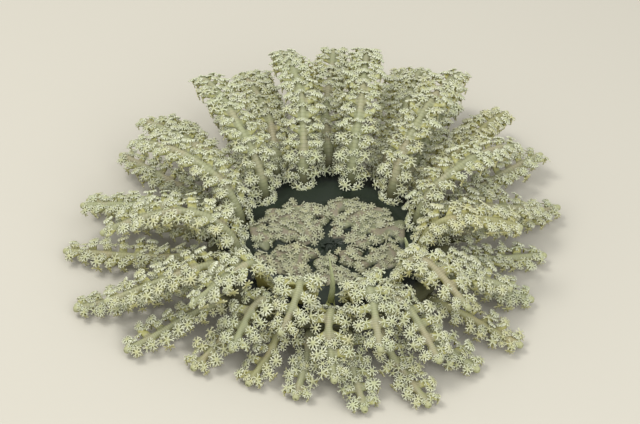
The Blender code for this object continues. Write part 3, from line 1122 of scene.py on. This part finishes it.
    def placed(self, corners: np.ndarray, tuft: Tuft, chance: random.Random) -> np.ndarray:
        """The corners of a branchlet at its place, turned and bent a little so that no two are alike."""
        turn = chance.uniform(0, 2 * math.pi)
        shape = corners * (1.0, 1.0, chance.uniform(0.85, 1.2))
        radius = np.hypot(shape[:, 0], shape[:, 1])
        angle = np.arctan2(shape[:, 1], shape[:, 0])
        bend = sum(depth * np.sin(waves * angle + chance.uniform(0, PHASE)) for depth, waves in self.bends)
        shape[:, 2] += bend * (radius / self.bend_radius) ** 2
        stretch = 1 + 0.08 * np.sin(3 * angle + chance.uniform(0, PHASE))
        shape[:, :2] *= stretch[:, None]
        cosine, sine = math.cos(turn), math.sin(turn)
        first = unit(np.cross(tuft.normal, ASLANT))
        second = np.cross(tuft.normal, first)
        across = first * cosine + second * sine
        other = second * cosine - first * sine
        return tuft.root + tuft.size * (shape[:, :1] * across + shape[:, 1:2] * other
                                        + shape[:, 2:] * tuft.normal)


def triangle_mesh(name: str, corners: np.ndarray, faces: np.ndarray) -> bpy.types.Mesh:
    """A smooth-shaded mesh of triangles."""
    mesh = bpy.data.meshes.new(name)
    mesh.vertices.add(len(corners))
    mesh.vertices.foreach_set("co", corners.astype(np.float32).ravel())
    mesh.loops.add(faces.size)
    mesh.loops.foreach_set("vertex_index", faces.astype(np.int32).ravel())
    mesh.polygons.add(len(faces))
    mesh.polygons.foreach_set("loop_start", np.arange(0, faces.size, 3, dtype=np.int32))
    mesh.polygons.foreach_set("use_smooth", np.ones(len(faces), bool))
    mesh.update(calc_edges=True)
    mesh.validate()
    return mesh


# ---------------------------------------------------------------------------------------------------------
# Finishes


def linear(code: str) -> tuple[float, float, float, float]:
    """The linear colour of an sRGB hex value."""
    parts = [int(code[place:place + 2], 16) / 255 for place in (1, 3, 5)]
    return (*(part / 12.92 if part <= 0.04045 else ((part + 0.055) / 1.055) ** 2.4 for part in parts), 1.0)


def add_node(tree: bpy.types.NodeTree, kind: str, settings: dict | None = None, inputs: dict | None = None,
             stops: tuple[tuple[float, str], ...] = ()) -> bpy.types.Node:
    """Adds a shader node.

    Args:
        tree: the material's node tree.
        kind: the node's type without "ShaderNode".
        settings: properties by name.
        inputs: values, sRGB colours or output sockets by the input's name or number.
        stops: a colour ramp's places and sRGB colours.

    Returns:
        The node, set and linked.
    """
    node = tree.nodes.new(f"ShaderNode{kind}")
    for name, value in (settings or {}).items():
        setattr(node, name, value)
    for name, value in (inputs or {}).items():
        if isinstance(value, bpy.types.NodeSocket):
            tree.links.new(value, node.inputs[name])
        else:
            node.inputs[name].default_value = linear(value) if isinstance(value, str) else value
    while stops and len(node.color_ramp.elements) < len(stops):
        node.color_ramp.elements.new(1.0)
    for element, (place, code) in zip(node.color_ramp.elements if stops else (), stops):
        element.position = place
        element.color = linear(code)
    return node


@dataclass(frozen=True)
class Tint:
    """A colour that lies over those below it where a mark or a pattern is strong.

    Attributes:
        colour: an sRGB value, or the socket of a colour made before.
        mark: what it follows.
        low: the mark's value where the colour begins.
        high: the mark's value where it covers the most.
        cover: how much it covers there.
        blend: how it lies on what is below.
    """

    colour: str | bpy.types.NodeSocket
    mark: str
    low: float
    high: float
    cover: float = 1.0
    blend: str = "MIX"


@dataclass(frozen=True)
class Finish:
    """A wet flesh: what all of the animal's surfaces have in common.

    Living flesh under a film of water is matt with a weak, broken gloss over a finely grained skin.
    """

    name: str
    roughness: float = 0.50
    specular: float = 0.32
    ior: float = 1.38  # of flesh that is mostly water
    gloss: float = 0.07  # of the film of water
    film: float = 0.18  # the roughness of that film
    grain: float = 0.35 * MM  # of the fine skin
    relief: float = 0.05 * MM
    blotch: float = 6.0 * MM  # across a patch of warmer or greener flesh
    speck: float = 0.8 * MM

    def start(self) -> tuple[bpy.types.Material, bpy.types.NodeTree, bpy.types.Node]:
        """A new material with the film of water and the fine skin's relief set on its shader."""
        material = bpy.data.materials.new(self.name)
        material.use_nodes = True
        tree = material.node_tree
        shader = tree.nodes["Principled BSDF"]
        shader.inputs["Roughness"].default_value = self.roughness
        shader.inputs["Specular IOR Level"].default_value = self.specular
        shader.inputs["IOR"].default_value = self.ior
        shader.inputs["Coat Weight"].default_value = self.gloss
        shader.inputs["Coat Roughness"].default_value = self.film
        place = add_node(tree, "TexCoord").outputs["Object"]
        grain = add_node(tree, "TexNoise", None, {"Vector": place, "Scale": 0.5 / self.grain, "Detail": 2.0})
        bump = add_node(tree, "Bump", None,
                        {"Strength": 0.5, "Distance": self.relief, "Height": grain.outputs[0]})
        tree.links.new(bump.outputs[0], shader.inputs["Normal"])
        return material, tree, shader

    def marks(self, tree: bpy.types.NodeTree, labels: tuple[str, ...],
              **patterns: float) -> dict[str, bpy.types.NodeSocket]:
        """What the tints of a material can follow.

        Args:
            tree: the material's node tree.
            labels: the names of the piece's own marks.
            patterns: irregular patterns by name, and how wide the patches of each are.

        Returns:
            A socket for each of them, by name.
        """
        marks = {label: add_node(tree, "Attribute", {"attribute_name": label}).outputs["Fac"]
                 for label in labels}
        place = add_node(tree, "TexCoord").outputs["Object"]
        for label, size in patterns.items():
            marks[label] = add_node(tree, "TexNoise", None, {
                "Vector": place, "Scale": 0.5 / size, "Detail": 2.5}).outputs[0]
        return marks

    def painted(self, tree: bpy.types.NodeTree, below: str | bpy.types.NodeSocket,
                marks: dict[str, bpy.types.NodeSocket], *tints: Tint) -> bpy.types.NodeSocket:
        """Lays tints over a colour.

        Args:
            tree: the material's node tree.
            below: the colour at the bottom.
            marks: what the tints follow, by name.
            tints: the tints, from the lowest up.

        Returns:
            The colour's socket.
        """
        for tint in tints:
            where = add_node(tree, "MapRange", {"interpolation_type": "SMOOTHSTEP"}, {
                "Value": marks[tint.mark], "From Min": tint.low, "From Max": tint.high, "To Max": tint.cover})
            below = add_node(tree, "Mix", {"data_type": "RGBA", "blend_type": tint.blend},
                             {0: where.outputs[0], 6: below, 7: tint.colour}).outputs[2]
        return below


@dataclass(frozen=True)
class SkinFinish(Finish):
    """The flesh of the midribs, side branches, fronds, disc and column, as one material without a seam."""

    rib: str = "#898b6d"
    blush: str = "#938b74"
    # painted shade in the fine creases across a midrib
    crease_shade: str = "#6b6c4e"
    branch: str = "#9d9b66"
    end: str = "#adad84"
    # painted shade on the undersides of midribs and side branches, laid on by the shade mark
    under: str = "#7f7943"
    # painted shade at the foot of each tentacle, where the crown around it shadows it
    root: str = "#33331c"
    tip: str = "#999b77"
    yellow: str = "#8d8446"
    green: str = "#8a9270"
    frond: str = "#6a6d55"
    frond_light: str = "#8b8c70"
    frond_rib: str = "#746d5d"
    # painted shade of the dish, seen in the clefts and pools and deepest where a pad dips lowest
    frond_deep_shade: str = "#1c241b"
    young: str = "#a0a680"
    # painted shade towards a young tentacle's foot
    young_root_shade: str = "#868a58"
    foot: str = "#77714f"
    column: str = "#8f8a68"
    # the disc's own dark green-black, made darker still as painted shade under the crown
    disc: str = "#0a0f0b"
    spoke: str = "#171f18"
    rim: str = "#505039"
    sheen: str = "#c9c6a8"  # the cloudy light in all of the flesh
    rings: int = 52  # across a midrib, from its root to its tip
    partitions: int = 96  # inside the disc

    def build(self) -> bpy.types.Material:
        """Makes the material."""
        material, tree, shader = self.start()
        marks = self.marks(tree, MARKS, blotch=self.blotch, speck=self.speck)
        place = add_node(tree, "TexCoord").outputs["Object"]
        marks["height"] = add_node(tree, "SeparateXYZ", None, {0: place}).outputs["Z"]
        marks["spoke"] = self.spokes(tree, place)
        marks["crease_shade"] = self.crease_shading(tree, marks["along"])
        rib = self.painted(tree, self.rib, marks, Tint(self.blush, "blotch", 0.46, 0.62, 0.8),
                           # rings of painted shade where the midrib is drawn in
                           Tint(self.crease_shade, "crease_shade", 0.2, 1.0, 0.45))
        arm = self.painted(
            tree, self.branch, marks, Tint(self.end, "end", 0.1, 0.8), Tint(rib, "rib", 0.1, 0.7),
            Tint(self.yellow, "tone", 0.0, 1.0, 0.30), Tint(self.green, "tone", 0.0, -1.0, 0.25),
            # painted shade: olive on the undersides, near black at each tentacle's foot
            Tint(self.under, "shade", 0.45, 0.9), Tint(self.tip, "along", 0.93, 0.98, 0.85),
            Tint(self.root, "along", 0.16, 0.02, 0.90))
        frond = self.painted(
            tree, self.frond, marks, Tint(self.frond_rib, "rib", 0.1, 0.8),
            Tint(self.frond_rib, "blotch", 0.50, 0.62, 0.7), Tint(self.frond_light, "speck", 0.52, 0.64, 0.7),
            # painted shade, deeper the nearer a pad lies to the dish
            Tint(self.frond_deep_shade, "shade", 0.2, 0.8))
        column = self.painted(tree, self.foot, marks, Tint(self.column, "height", 1 * MM, 5 * MM))
        # the disc's dark colour is partly painted shade
        disc = self.painted(tree, self.disc, marks, Tint(self.spoke, "spoke", 0.2, 1.0, 0.6),
                            Tint(self.rim, "end", 0.1, 0.9))
        body = self.painted(tree, column, marks, Tint(disc, "height", 8 * MM, 11 * MM))
        # painted shade, strongest at the foot
        young = self.painted(tree, self.young, marks, Tint(self.young_root_shade, "shade", 0.1, 1.0))
        colour = self.painted(
            tree, arm, marks, Tint(body, "body", 0.3, 0.7), Tint(frond, "frond", 0.3, 0.7),
            Tint(young, "young", 0.3, 0.7), Tint(self.sheen, "speck", 0.3, 0.75, 0.3, "SOFT_LIGHT"))
        tree.links.new(colour, shader.inputs["Base Color"])
        return material

    def crease_shading(self, tree: bpy.types.NodeTree, along: bpy.types.NodeSocket) -> bpy.types.NodeSocket:
        """Fine rings across a midrib, where its muscles have drawn it together: painted shade in creases that
        the mesh doesn't model.
        """
        wave = add_node(tree, "Math", {"operation": "MULTIPLY"}, {0: along, 1: 2 * math.pi * self.rings})
        return add_node(tree, "Math", {"operation": "SINE"}, {0: wave.outputs[0]}).outputs[0]

    def spokes(self, tree: bpy.types.NodeTree, place: bpy.types.NodeSocket) -> bpy.types.NodeSocket:
        """Fine lines that run out from the mouth, where the partitions inside show through the disc."""
        turn = add_node(tree, "TexGradient", {"gradient_type": "RADIAL"}, {"Vector": place})
        wave = add_node(tree, "Math", {"operation": "MULTIPLY"},
                        {0: turn.outputs["Fac"], 1: 2 * math.pi * self.partitions})
        return add_node(tree, "Math", {"operation": "SINE"}, {0: wave.outputs[0]}).outputs[0]


@dataclass(frozen=True)
class CoatFinish(Finish):
    """The flesh of the branchlets: olive stalks, their own colour made darker as painted shade in the gaps
    under the arms, and arms that pale towards their knobs.
    """

    relief: float = 0.03 * MM
    # the stalk's olive is partly painted shade of the gaps between the arms
    stops: tuple[tuple[float, str], ...] = (
        (0.0, "#867b2a"), (0.25, "#948d44"), (0.40, "#a0a27c"), (0.6, "#afb193"), (0.85, "#bfc1a9"),
        (1.0, "#cbcdb9"))
    yellow: str = "#bdb47c"
    green: str = "#abb493"
    blush: str = "#81806a"
    depth_shade: str = "#948a3a"

    def build(self) -> bpy.types.Material:
        """Makes the material."""
        material, tree, shader = self.start()
        marks = self.marks(tree, ("share", "tone", "shade"), speck=self.speck)
        place = add_node(tree, "Math", {"operation": "MULTIPLY_ADD"}, {
            0: marks["speck"], 1: 0.2, 2: marks["share"]})
        place = add_node(tree, "Math", {"operation": "SUBTRACT", "use_clamp": True},
                         {0: place.outputs[0], 1: 0.1})
        colour = self.painted(
            tree, add_node(tree, "ValToRGB", None, {0: place.outputs[0]}, self.stops).outputs[0], marks,
            Tint(self.yellow, "tone", 0.0, 1.2, 0.28), Tint(self.green, "tone", 0.0, -1.2, 0.30),
            # below 0 the shade mark lays on pinkish blush; above 0, painted shade for deeper branchlets
            Tint(self.blush, "shade", 0.0, -1.0, 0.7), Tint(self.depth_shade, "shade", 0.0, 1.0, 0.9))
        tree.links.new(colour, shader.inputs["Base Color"])
        return material


# ---------------------------------------------------------------------------------------------------------
# Studio


@dataclass(frozen=True)
class Studio:
    """A plain pale floor, soft lights and the camera."""

    floor: str = "#b1ada2"
    sky: tuple[float, float, float, float] = (0.99, 0.99, 0.97, 1.0)  # linear
    sky_strength: float = 0.88
    elevation: float = 40.8  # degrees that the camera looks down
    distance: float = 0.648
    lens: float = 94.0
    aim: tuple[float, float, float] = (-0.0033, 0.0205, 0.012)

    def build(self) -> None:
        """Makes the floor, the lights, the world and the camera."""
        self.make_floor()
        self.light("key", (-0.32, 0.08, 0.70), 0.30, 3.5, (1.0, 0.99, 0.95))
        self.light("fill", (0.30, -0.50, 0.55), 0.7, 4.3, (0.98, 0.99, 1.0))
        world = bpy.data.worlds.new("studio")
        world.use_nodes = True
        world.node_tree.nodes["Background"].inputs["Color"].default_value = self.sky
        world.node_tree.nodes["Background"].inputs["Strength"].default_value = self.sky_strength
        bpy.context.scene.world = world
        bpy.context.scene.view_settings.view_transform = "Standard"
        self.make_camera()

    def make_floor(self) -> None:
        """A wide matt floor just under the foot."""
        bpy.ops.mesh.primitive_plane_add(size=8.0, location=(0, 0, -0.02 * MM))
        floor = bpy.context.object
        floor.name = "floor"
        material = bpy.data.materials.new("matt paper sweep")
        material.use_nodes = True
        shader = material.node_tree.nodes["Principled BSDF"]
        shader.inputs["Base Color"].default_value = linear(self.floor)
        shader.inputs["Roughness"].default_value = 0.9
        floor.data.materials.append(material)

    def light(self, name: str, place: tuple[float, float, float], size: float, power: float,
              colour: tuple[float, float, float]) -> None:
        """A square soft light that faces the object.

        Args:
            name: the light's name.
            place: where it hangs.
            size: the length of its side.
            power: in watts.
            colour: linear, without alpha.
        """
        lamp = bpy.data.lights.new(name, "AREA")
        lamp.size = size
        lamp.energy = power
        lamp.color = colour
        holder = bpy.data.objects.new(name, lamp)
        holder.location = place
        holder.rotation_euler = (-Vector(place)).to_track_quat("-Z", "Y").to_euler()
        bpy.context.scene.collection.objects.link(holder)

    def make_camera(self) -> None:
        """A long lens that looks along +Y and down."""
        tilt = math.radians(self.elevation)
        camera = bpy.data.cameras.new("camera")
        camera.lens = self.lens
        holder = bpy.data.objects.new("camera", camera)
        holder.location = Vector(self.aim) + self.distance * Vector((0, -math.cos(tilt), math.sin(tilt)))
        holder.rotation_euler = (math.radians(90) - tilt, 0, 0)
        bpy.context.scene.collection.objects.link(holder)
        bpy.context.scene.camera = holder


# ---------------------------------------------------------------------------------------------------------


def main() -> None:
    """Builds the skin, the coat and the studio on the frame."""
    logging.basicConfig(level=logging.INFO, format="%(message)s")
    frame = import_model()
    layout = Layout(Disc.from_frame())
    arches, fronds = layout.arches(), layout.fronds()

    skin = Flesh(layout.disc).build(arches, fronds)
    skin.data.materials.clear()
    skin.data.materials.append(SkinFinish("wet anemone flesh").build())
    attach(skin, BODY)
    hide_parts(*frame["nodes"])

    finish = CoatFinish("wet branchlet flesh").build()
    for piece in Coat().build(arches, fronds):
        piece.data.materials.append(finish)
        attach(piece, BODY)

    Studio().build()


if __name__ == "__main__":
    main()
